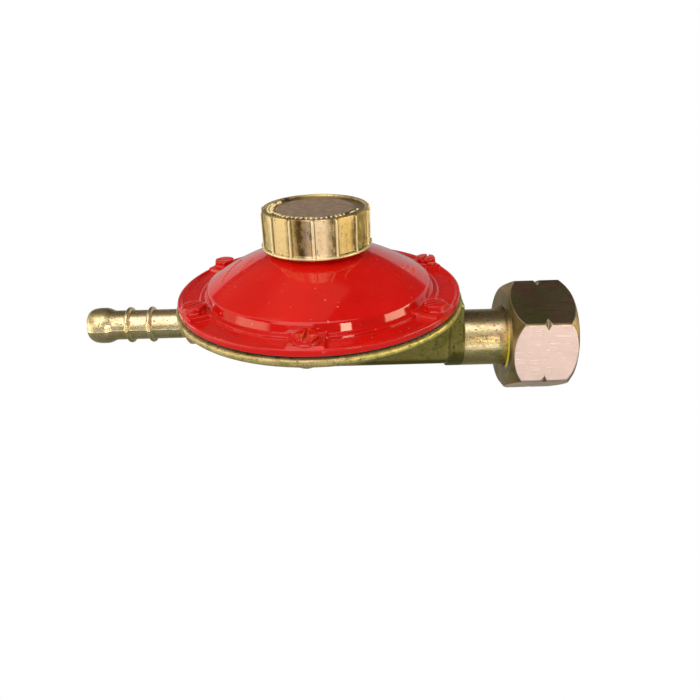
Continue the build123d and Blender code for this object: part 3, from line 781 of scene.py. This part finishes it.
def screw_blank():
    """Washer head, hexagon and shank of one screw about the origin, z from the lug's top."""
    head_af, head_h = 5.7, 1.5
    washer_r, washer_h = 3.25, 0.4
    skin_size = 0.11
    angles = even_angles(96)
    flat = head_af / 2 / np.cos((angles + pi / 6) % (pi / 3) - pi / 6)
    hexagon = [
        upright_points(np.minimum(flat, crown), washer_h + height, angles)
        for height, crown in (
            (-0.2, 9.0), (head_h - 0.45, 9.0), (head_h - 0.12, 3.02), (head_h, 2.6), (head_h, 0), (-0.2, 0),
        )
    ]
    head = grid_object("head", np.array(hexagon))
    washer = np.array([(0, 0), (washer_r - 0.1, 0), (washer_r, 0.12), (washer_r - 0.06, 0.3),
                       (washer_r - 0.5, washer_h), (0, washer_h + 0.05)])
    flange = grid_object("washer", upright_points(*np.hsplit(washer, 2), angles))
    neck = np.array([(0, -1.5), (1.5, -1.5), (1.5, 0.2), (0, 0.2)])
    neck = grid_object("neck", upright_points(*np.hsplit(neck, 2), angles))
    blank = joined("blank", [head, flange, neck])
    reskinned(blank, skin_size, smooth=False)
    bake(blank)
    slot = bmesh.new()
    slot_size = Matrix.Diagonal((9 * MM, 0.85 * MM, 1.6 * MM, 1))
    bmesh.ops.create_cube(slot, size=1.0, matrix=Matrix.Translation((0, 0, 2.0 * MM)) @ slot_size)
    cut_away(blank, slot, "FAST")
    reskinned(blank, skin_size)
    relaxed(blank, 0.5)
    return blank


def build_screws():
    """Six painted washer-head screws, each turned as it was left, with its threaded shank below."""
    blank = screw_blank()
    head_points = np.array([v.co for v in blank.data.vertices]) / MM
    head_faces = [tuple(p.vertices) for p in blank.data.polygons]
    bpy.data.objects.remove(blank)
    tip_z = screws_low[2]
    shank = [(0.0, tip_z), (1.1, tip_z), (1.35, tip_z + 0.3)]
    thread_pitch = 0.6
    for thread in range(int((lug_top - 1.6 - tip_z) / thread_pitch)):
        base = tip_z + 0.35 + thread * thread_pitch
        shank += [(1.5, base + 0.1), (1.5, base + 0.2), (1.28, base + 0.42), (1.28, base + 0.5)]
    shank += [(1.45, lug_top - 1.0), (1.45, lug_top - 0.4), (0.0, lug_top - 0.4)]
    angles = even_angles(28)
    low_points = upright_points(*np.hsplit(np.array(shank), 2), angles).reshape(-1, 3)
    paint = red_paint("red enamel on screws", shift=50)
    for number in range(screw_count):
        around = first_screw_angle + turn / screw_count * number
        centre = np.array([axis_x + screw_pitch_r * cos(around), screw_pitch_r * sin(around), lug_top])
        spin = radians(slot_turns[number])
        rotation = np.array([[cos(spin), -sin(spin), 0], [sin(spin), cos(spin), 0], [0, 0, 1]])
        head = head_points @ rotation.T + centre
        low = low_points + [centre[0], centre[1], 0]
        points = np.concatenate([head, low])
        faces = head_faces + closed_faces(len(shank), len(angles), first=len(head))
        piece = mesh_object(f"cover_screw_{number + 1}", points, faces)
        settle(piece, "regulator", "cover_screws", paint, crisp=False)


# ---- casting

tail_axis_z = 7.3
tail_r = 4.36
tail_bore_r = 2.6
tail_end = casting_low[0]
barb_r = 5.3
flange_r = 41.1
web_top, rim_bottom = 13.4, 14.0
tail_cut = axis_x - flange_r - 0.35
pipe_r = 8.43
pipe_cut = axis_x + flange_r + 0.9
pipe_end = casting_high[0]
pipe_bore_r = 5.0


def cut_end(tool, x, side):
    """Cuts the open mesh at x, drops what lies beyond on that side, and closes the cut."""
    geometry = tool.verts[:] + tool.edges[:] + tool.faces[:]
    bmesh.ops.bisect_plane(
        tool, geom=geometry, dist=0.0001 * MM,
        plane_co=(x * MM, 0, 0), plane_no=(side, 0, 0), clear_outer=True,
    )
    rim = [edge for edge in tool.edges if len(edge.link_faces) == 1]
    bmesh.ops.triangle_fill(tool, edges=rim, use_beauty=True, normal=(side, 0, 0))


def build_casting_body():
    """Pan, flange, valve block and web: the CAD solid, given cast skin with rounded inner corners."""
    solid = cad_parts["casting"].data.copy()
    tool = bmesh.new()
    tool.from_mesh(solid)
    bmesh.ops.remove_doubles(tool, verts=tool.verts, dist=0.001 * MM)
    cut_end(tool, tail_cut, -1)
    cut_end(tool, pipe_cut, 1)
    bmesh.ops.triangulate(tool, faces=tool.faces)
    bmesh.ops.recalc_face_normals(tool, faces=tool.faces)
    tool.to_mesh(solid)
    tool.free()
    piece = joined("casting_body", [linked("solid", solid)])
    reskinned(piece, 0.27)
    relaxed(piece, 0.42)
    # its chromate paints light and shade by place: pinkish pan, dark web, bright rim
    settle(piece, "regulator", "casting", chromate("chromated casting"))


def ridge_angles(count):
    """Angles round a pipe, closer together at the two parting lines."""
    close = np.array([-0.09, -0.055, -0.03, -0.012, 0.012, 0.03, 0.055, 0.09])
    spread = [a for a in even_angles(count) if abs(sin(a)) > sin(0.12)]
    return np.sort(np.concatenate([spread, close % turn, (close + pi) % turn]))


def build_hose_tail():
    """Hose tail with its rounded barb, two rings and the parting line of the die."""
    barb_back = axis_x - 62.2
    corners = [
        (tail_cut + 5, tail_bore_r, 0), (tail_end + 0.5, tail_bore_r, 0.2),
        (tail_end, tail_bore_r + 0.45, 0.15), (tail_end, 3.35, 0.3),
        (tail_end + 0.45, 4.3, 0.5), (tail_end + 1.5, 5.0, 0.9), (tail_end + 3.1, barb_r, 1.2),
        (barb_back - 1.3, barb_r, 0.9), (barb_back + 0.7, tail_r, 0.6),
    ]
    foot, shoulder = 0.78, 0.42
    for ring_x in (axis_x - 56.9, axis_x - 50.4):
        corners += [
            (ring_x - foot, tail_r, 0.2), (ring_x - shoulder, barb_r - 0.12, 0.22),
            (ring_x, barb_r + 0.03, 0.2),
            (ring_x + shoulder, barb_r - 0.12, 0.22), (ring_x + foot, tail_r, 0.2),
        ]
    plug_r = tail_r - 0.35
    corners += [(tail_cut - 0.1, tail_r, 0.05), (tail_cut + 0.3, plug_r, 0.1), (tail_cut + 5, plug_r, 0)]
    outline = divided(softened(corners, 0.2, 4), 0.9)
    angles = ridge_angles(110)
    x, r = np.hsplit(outline, 2)
    points = level_points(x, r, angles, tail_axis_z)
    ridge_h, ridge_half_angle = 0.1, 0.035
    ridge = ridge_h * np.exp(-(np.sin(angles) / ridge_half_angle) ** 2)
    outside = smoothstep(r, tail_bore_r + 0.8, tail_r - 0.3)
    points[..., 1] *= 1 + ridge * outside / np.maximum(r, 1)
    piece = grid_object("hose_tail", points)
    # its chromate is a brightened copy, as painted light, with painted shade on its upper side
    settle(
        piece, "regulator", "casting",
        chromate("chromated tail", (1.36, 1.32, 1.46), (0.35, 1, 1), (0.24, 0.40), 0.018, 60, top_shade=0.7),
    )


def build_inlet_pipe():
    """The inlet stem: a turned pipe with tool marks."""
    plug_r = pipe_r - 0.5
    corners = [
        (pipe_cut - 2.5, pipe_bore_r, 0), (pipe_cut - 2.5, plug_r, 0), (pipe_cut - 0.5, plug_r, 0.1),
        (pipe_cut + 0.1, pipe_r, 0.1), (pipe_end - 0.4, pipe_r, 0.1), (pipe_end, pipe_r - 0.4, 0.1),
        (pipe_end, pipe_bore_r + 0.3, 0.1), (pipe_end - 0.3, pipe_bore_r, 0.1),
    ]
    outline = divided(softened(corners, 0.1), 0.8)
    piece = grid_object("inlet_pipe", level_points(*np.hsplit(outline, 2), ridge_angles(120)))
    # its chromate is a brightened copy, as painted light, with painted shade on its upper side
    settle(
        piece, "regulator", "casting",
        chromate("chromated pipe", (1.30, 1.22, 1.24), (0.3, 1, 1), (0.24, 0.40), 0.025, 83, top_shade=0.75),
    )


# ---- adjusting cap

ring_inner_r, ring_outer_r = 10.7, 13.75
first_rib_angle = radians(-90.2)
cap_ribs = 15
cap_r = 14.75
cap_rib_r = 15.15
cap_bore_r = 13.2


def build_cap():
    """The ribbed cap: flared lip, ribs, rounded rim, ring channel with raised ticks, threaded inside."""
    lip_r = (cap_high[0] - cap_low[0]) / 2
    lip_z, top_z = cap_low[2], cap_high[2]
    roof_z = top_z - 2.05
    disc_z = top_z - 0.35
    channel_z = top_z - 0.6
    corners = [
        (0, disc_z, 0), (ring_inner_r - 0.2, disc_z, 0.25), (ring_inner_r + 0.1, channel_z, 0.12),
        (ring_outer_r - 0.1, channel_z, 0.15), (ring_outer_r + 0.12, top_z, 0.16),
        (cap_r - 0.05, top_z, 0.4), (cap_r, top_z - 1.0, 0.2),
        (cap_r + 0.06, lip_z + 1.0, 0.2), (cap_r + 0.2, lip_z + 0.72, 0.2),
        (lip_r - 0.05, lip_z + 0.62, 0.2), (lip_r, lip_z + 0.1, 0.2), (lip_r - 0.5, lip_z, 0.15),
        (cap_bore_r + 0.3, lip_z, 0.2), (cap_bore_r, lip_z + 0.5, 0.1),
    ]
    thread_pitch = 1.5
    thread_z = lip_z + 1.2
    while thread_z < roof_z - thread_pitch:
        for rise, groove in ((0, 0), (0.3, 0.3), (0.5, 0.3), (0.8, 0)):
            corners.append((cap_bore_r + groove, thread_z + rise, 0.08))
        thread_z += thread_pitch
    boss_r, boss_bottom = 4.0, seat_high[2] + 0.02
    corners += [(cap_bore_r, roof_z, 0.3), (boss_r, roof_z, 0.3)]
    corners += [(boss_r, boss_bottom, 0.3), (0, boss_bottom, 0)]
    outline = divided(softened(corners, 0.15), 1.1)
    across = np.array([-0.7, -0.5, -0.42, -0.34, -0.24, -0.1, 0.1, 0.24, 0.34, 0.42, 0.5, 0.7])
    height = 1 - smoothstep(np.abs(across), 0.2, 0.46)
    angles, rib = featured_turn(first_rib_angle, cap_ribs, across / cap_r, height, gap_count=9)
    pitch = turn / cap_ribs
    from_rib = (angles - first_rib_angle + pitch / 2) % pitch - pitch / 2
    hollow = 0.12 * (1 - (np.abs(np.abs(from_rib) - pitch / 2) / (pitch / 2)) ** 2)
    r, z = (column + 0 * angles for column in np.hsplit(outline, 2))
    side = smoothstep(r, cap_r - 0.25, cap_r - 0.02) * (z > lip_z + 0.4)
    fade = smoothstep(z, top_z - 0.02, top_z - 0.42)
    raised = (cap_rib_r - cap_r) * rib * side * fade
    r = r + raised * (r < cap_rib_r) - hollow * side * fade * (1 - rib) * (z > lip_z + 0.9)
    ripple = 0.07
    at_lip = smoothstep(r, lip_r - 0.3, lip_r)
    rough_lip = ripple * np.sin(7 * angles + 0.6) * np.sin(23 * angles) * at_lip
    body = grid_object("cap", upright_points(r + rough_lip - ripple * at_lip, z, angles, axis_x))
    piece = joined("adjusting_cap_body", [body, *cap_marks(channel_z)])
    settle(piece, "cap", "adjusting_cap", gold_plating("gold plating"))


def cap_marks(channel_z):
    """Raised generic ticks and dots standing in the ring channel."""
    marks = []
    order = np.random.default_rng(7)
    middle_r = (ring_inner_r + ring_outer_r) / 2
    for number in range(27):
        around = radians(148 + number * 6.3)
        long = order.choice([0.35, 0.5, 0.62])
        wide = order.choice([0.2, 0.26, 0.36])
        marks.append(mark(middle_r - 0.25 + order.uniform(-0.2, 0.2), around, long, wide, channel_z))
    for number in range(7):
        around = radians(160 + number * 7.1)
        marks.append(mark(middle_r + 0.75, around, 0.3, order.choice([0.25, 0.5, 0.7]), channel_z))
    marks.append(mark(middle_r, radians(-33), 0.28, 1.3, channel_z))
    marks.append(mark(middle_r, radians(-19), 0.35, 0.35, channel_z))
    return marks


def mark(radius, around, long, wide, base_z):
    """One raised mark with sloping sides: long is its half length outward, wide its half width around."""
    height = 0.56

    def place(out, side, share, z):
        u = radius + out * long * share
        v = side * wide * share
        return axis_x + u * cos(around) - v * sin(around), u * sin(around) + v * cos(around), z

    return raised_block(place, ((base_z - 0.1, 1.0), (base_z + height * 0.75, 0.92), (base_z + height, 0.6)))


# ---- union nut

def build_nut():
    """The union nut: hexagon with chamfered ends, notched corners, threaded bore and rear wall."""
    rear_x, mouth_x = nut_low[0], nut_high[0]
    half_flat = 15.0
    corner_angle = radians(24.1)
    corner_r = half_flat / cos(pi / 6)
    face_r = 14.3
    slope = 0.577
    notch_half_w, notch_depth = 1.05, 1.0
    notch_reach = 2 * notch_depth
    half_length = (mouth_x - rear_x) / 2
    half_side = half_flat * tan(pi / 6)
    along = [0, 0.08, 0.2, 0.45, 0.8, 1.2, 1.5, notch_reach, 2.3, 3.0, 4.2, 5.4, 6.6, 7.7, half_side]
    along = np.array(along)
    # a sixth of the turn, as angles from its corner, from the distances along the flats
    from_corner = pi / 6 - np.arctan2(half_side - along, half_flat)
    sixth = np.concatenate([-from_corner[-2:0:-1], from_corner])
    angles = (corner_angle + np.arange(6)[:, None] * pi / 3 + sixth).ravel()
    offset = np.abs(np.tile(sixth, 6))
    distance = np.tile(np.concatenate([along[-2:0:-1], along]), 6)
    blunting, blunt_reach, bow = 0.16, 0.22, 0.16
    hexagon = half_flat / np.cos(pi / 6 - offset) - blunting * np.exp(-(distance / blunt_reach) ** 2)
    # how far the end chamfers reach along the nut at each direction
    depth = (hexagon - face_r) * slope + bow * (hexagon - face_r) ** 2
    notch_w = np.maximum(notch_half_w * (1 - distance / notch_reach), 0.12)
    notch_deep = np.minimum(hexagon, (corner_r - notch_depth) / np.cos(offset))
    half_notch = (hexagon + notch_deep) / 2
    # the outside from an end face to the middle, as how far in from the face and radius
    edge = depth + 0.16
    notch = half_length - notch_w
    half = [(0, face_r - 0.12), (0.05, face_r + 0.02)]
    half += [(depth * share, face_r + (hexagon - face_r) * share) for share in (0.35, 0.7)]
    half += [(depth - 0.1, hexagon - 0.14), (depth, hexagon - 0.05), (edge, hexagon)]
    half += [(edge + (notch - 0.1 - edge) * share, hexagon) for share in (0.3, 0.6, 0.85)]
    half += [(notch - 0.05, hexagon), (notch, hexagon)]
    half += [(half_length - notch_w / 2, half_notch), (half_length - 0.04, notch_deep)]
    rows = [(rear_x + inward, r) for inward, r in half]
    rows += [(mouth_x - inward, r) for inward, r in half[::-1]]
    # mouth face, lead-in and thread
    minor_r, major_r, pitch = 9.74, 10.9, 1.814
    mouth_r = 11.35
    rows += [(mouth_x, mouth_r + 1.2), (mouth_x, mouth_r + 0.1), (mouth_x - 0.1, mouth_r)]
    thread_inner, row_step = mouth_x - 9.4, 0.13
    x = mouth_x - 0.25
    while x > thread_inner:
        phase = (x / pitch + angles / turn) % 1.0
        crest = np.abs(phase * 2 - 1)
        groove = minor_r + (major_r - minor_r) * smoothstep(crest, 0.12, 0.88)
        lead = mouth_r - (mouth_x - x - 0.1) * 0.9
        runout = major_r + 0.1 - (x - thread_inner) * 1.2
        rows.append((x, np.maximum(groove, np.maximum(lead, runout))))
        x -= row_step
    # relief behind the thread, rear hole and its chamfer
    relief_r, relief_inner = 11.0, rear_x + 4.4
    hole_r, chamfer = 8.75, 0.9
    rows += [
        (thread_inner, relief_r), (relief_inner + 0.3, relief_r), (relief_inner, relief_r - 0.3),
        (relief_inner, hole_r + 0.15), (relief_inner - 0.15, hole_r),
        (rear_x + chamfer + 0.1, hole_r), (rear_x + chamfer - 0.05, hole_r + 0.1),
        (rear_x + 0.06, hole_r + chamfer - 0.02), (rear_x, hole_r + chamfer + 0.1),
        (rear_x, (hole_r + chamfer + face_r) / 2),
    ]
    piece = grid_object("union_nut_body", np.array([level_points(x, r, angles) for x, r in rows]))
    settle(piece, "nut", "union_nut", nut_plating("nut plating"))


# ---- main spring

def build_spring():
    """The main spring in two runs of turns; the lower one follows the plate."""
    wire_r = 0.8
    coil_r = 8.3
    turns = 6.5
    low_z, high_z = spring_low[2] + wire_r, spring_high[2] - wire_r
    dead = 0.75
    ring_count = 210
    round_count = 12
    across = even_angles(round_count)
    metal = worked_metal("spring wire", (176, 178, 182), (120, 120, 124), (0.25, 0.4), (1, 1, 1), 0.01)

    def height(share):
        """Height of the wire's centre: closed turns at both ends, even ones between."""
        ground = dead / turns
        free = np.clip((share - ground) / (1 - 2 * ground), 0, 1)
        rest = 0.06
        return low_z + (high_z - low_z) * (
            rest * np.clip(share / ground, 0, 1) * (share < 0.5)
            + rest * (share >= 0.5)
            + (1 - 2 * rest) * free
            + rest * np.clip((share - 1 + ground) / ground, 0, 1)
        )

    def run(name, start, end):
        """The turns from one share of the wire's length to another."""
        rings = []
        for share in np.linspace(start, end, ring_count):
            around = share * turns * turn
            centre = np.array([axis_x + coil_r * cos(around), coil_r * sin(around), height(share)])
            outward = np.array([cos(around), sin(around), 0])
            upward = np.array([0, 0, 1])
            rings.append([centre + wire_r * (cos(a) * outward + sin(a) * upward) for a in across])
        faces = closed_faces(ring_count, round_count)[:-round_count]
        last = (ring_count - 1) * round_count
        faces += [tuple(range(round_count)), tuple(range(last, last + round_count))]
        piece = mesh_object(name, rings, faces)
        piece.data.materials.append(metal)
        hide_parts("main_spring")
        return piece

    upper = run("main_spring_upper_turns", 0.5, 1.0)
    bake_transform(upper)
    lower = run("main_spring_lower_turns", 0.0, 0.5)
    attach(lower, "regulator")
    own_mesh(lower)


# ---- CAD nodes that keep their shape

def dress_cad_nodes():
    """Materials of the inner pieces, whose CAD shape is right as it is."""
    steel = worked_metal("zinc plated steel", (196, 198, 200), (150, 152, 154), (0.28, 0.45), (1, 1, 1))
    lever_steel = worked_metal("lever steel", (178, 178, 180), (120, 118, 116), (0.3, 0.5), (1, 0.2, 1))
    brass = worked_metal("turned brass", (222, 190, 118), (176, 138, 72), (0.2, 0.38), (0.15, 1, 1), shift=33)
    copper = worked_metal("copper", (206, 140, 104), (150, 88, 60), (0.3, 0.45), (1, 1, 1))
    rubber = moulded("membrane rubber", (44, 44, 46), (22, 22, 24), 0.6, 0.02, fabric=5.0)
    seal = moulded("seal rubber", (40, 40, 40), (20, 20, 20), 0.55, 0.015)
    plastic = moulded("seat plastic", (232, 230, 222), (206, 204, 194), 0.42, 0.01)
    dressing = {
        "upper_plate": steel, "lower_plate": steel, "stem_washer": steel, "stem_nut": steel,
        "stem": brass, "plunger": brass, "nozzle": brass, "inlet_nipple": brass,
        "lever": lever_steel, "lever_pin": steel, "nozzle_washer": copper,
        "inlet_filter": sintered("sintered bronze"), "membrane": rubber,
        "valve_pad": seal, "inlet_washer": seal, "spring_seat": plastic,
    }
    for node, material in dressing.items():
        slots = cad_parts[node].data.materials
        slots.clear()
        slots.append(material)


# ---- studio

def build_floor():
    """A plain white floor, bright enough to leave no shadow, that doesn't show in the reflections."""
    radius = 1600
    outline = [(radius * cos(a), radius * sin(a), cad_low.z / MM) for a in even_angles(96)]
    floor = mesh_object("floor", outline, [tuple(range(96))])
    floor.data.materials.append(Graph("floor").glowing((1, 1, 1, 1), 1.0))
    floor.visible_glossy = False
    floor.visible_shadow = False


def build_tent():
    """A light tent that only reflections see: white sweep, dark room, soft box and small lamps."""
    radius = 2200
    tool = bmesh.new()
    bmesh.ops.create_uvsphere(tool, u_segments=64, v_segments=32, radius=radius * MM)
    mesh = bpy.data.meshes.new("light_tent")
    tool.to_mesh(mesh)
    tool.free()
    tent = linked("light_tent", mesh)
    tent.location = (axis_x * MM, 0, 20 * MM)
    g = Graph("light tent")
    g.material.cycles.emission_sampling = "NONE"
    x, y, z = g.split(g.vector("NORMALIZE", g.place))
    height = g.times(g.math("ARCSINE", z), 180 / pi)
    # 0 towards the viewer's side, + towards the nut, 180 behind
    around = g.times(g.math("ARCTAN2", x, g.times(y, -1.0)), 180 / pi)
    aside = g.math("ABSOLUTE", around)
    light = g.remap(height, 17, 20, 0.5, 0.02)

    def paint(under, low, high, floor_angle, top_angle, value, soft):
        """The light, set to value between two directions around and two heights."""
        inside = g.times(g.between(around, low, high, soft), g.between(height, floor_angle, top_angle, soft))
        return g.plus(g.times(under, g.minus(1.0, inside)), g.times(inside, value))

    # each patch: directions from and to, heights from and to, light, softness of its sides
    # the ceiling behind, brighter towards the left
    for patch in ((-200, -95, 24, 56, 0.17, 3), (-200, -60, 56, 110, 0.38, 6), (145, 200, 66, 110, 0.4, 4)):
        light = paint(light, *patch)
    # below the horizon: bright on the viewer's side, dull behind and straight below
    ground = g.times(g.remap(aside, 125, 75, 0.3, 0.2), g.remap(height, -78, -52, 0.35, 1.0))
    below = g.remap(height, -6, -11)
    light = g.plus(g.times(light, g.minus(1.0, below)), g.times(below, ground))
    for patch in (
        # the viewer's side: a dark room, the white sweep in front, a soft box above, a window on the left
        (-88, 88, -5, 40, 0.04, 3), (-4, 70, -23, -7, 1.35, 2), (-100, -38, -23, -7, 1.1, 3),
        (-78, 50, 48, 80, 1.9, 4), (-46, -5, 14, 80, 1.7, 2), (-112, -76, -14, 70, 0.8, 4),
        # small lamps round the room, seen as bands on the cover's upright edges
        (-122, -105, -16, -3, 3.5, 1.5), (-82, -48, -4, 16, 3.2, 4),
        (21, 31, 4, 17, 15.0, 1.0), (66, 99, -5, 12, 7.0, 1.5),
    ):
        light = paint(light, *patch)
    ceiling = g.times(g.remap(aside, 80, 105), g.remap(height, 20, 26))
    hue = g.mix(ceiling, (1, 0.985, 0.96, 1), (1, 0.74, 0.5, 1))
    lamps = g.times(g.between(height, -4, 19, 2), g.remap(aside, 116, 106))
    hue = g.mix(lamps, hue, (1, 0.80, 0.54, 1))
    mesh.materials.append(g.glowing(hue, light))
    for ray in ("camera", "diffuse", "shadow", "transmission", "volume_scatter"):
        setattr(tent, "visible_" + ray, False)


def build_lights():
    """White surroundings, and a soft key from the upper left."""
    world = bpy.data.worlds.new("studio")
    world.use_nodes = True
    sky = world.node_tree.nodes["Background"].inputs
    sky["Color"].default_value = (1, 1, 1, 1)
    sky["Strength"].default_value = 1.0
    scene.world = world
    key = bpy.data.lights.new("key", "AREA")
    key.shape = "RECTANGLE"
    key.size = 0.5
    key.size_y = 0.35
    key.energy = 3.0
    lamp = linked("key", key)
    lamp.location = (-0.45, -0.45, 0.55)
    lamp.rotation_mode = "QUATERNION"
    aim = Vector((axis_x * MM, 0, 0.015)) - lamp.location
    lamp.rotation_quaternion = aim.to_track_quat("-Z", "Y")
    lamp.visible_glossy = False
    lamp.visible_camera = False


def build_camera():
    """The camera looks down on the regulator from the front."""
    yaw, tilt, roll = radians(0.519), radians(27.366), radians(-1.834)
    target = Vector((axis_x + 8.3, 0, -3.31)) * MM
    distance = 185.2 * MM
    back = Vector((sin(yaw) * cos(tilt), -cos(yaw) * cos(tilt), sin(tilt)))
    right = (-back).cross(Vector((0, 0, 1))).normalized()
    up = right.cross(-back)
    across = cos(roll) * right + sin(roll) * up
    upward = -sin(roll) * right + cos(roll) * up
    data = bpy.data.cameras.new("camera")
    data.sensor_width = 36
    data.lens = 30.965
    data.clip_start = 0.005
    data.clip_end = 20
    camera = linked("camera", data)
    aim = Matrix((across, upward, back)).transposed().to_4x4()
    camera.matrix_world = Matrix.Translation(target + back * distance) @ aim
    scene.camera = camera


build_camera()
build_cover()
build_screws()
build_casting_body()
build_hose_tail()
build_inlet_pipe()
build_cap()
build_nut()
build_spring()
dress_cad_nodes()
build_floor()
build_tent()
build_lights()

scene.view_settings.view_transform = "Standard"
scene.view_settings.look = "None"
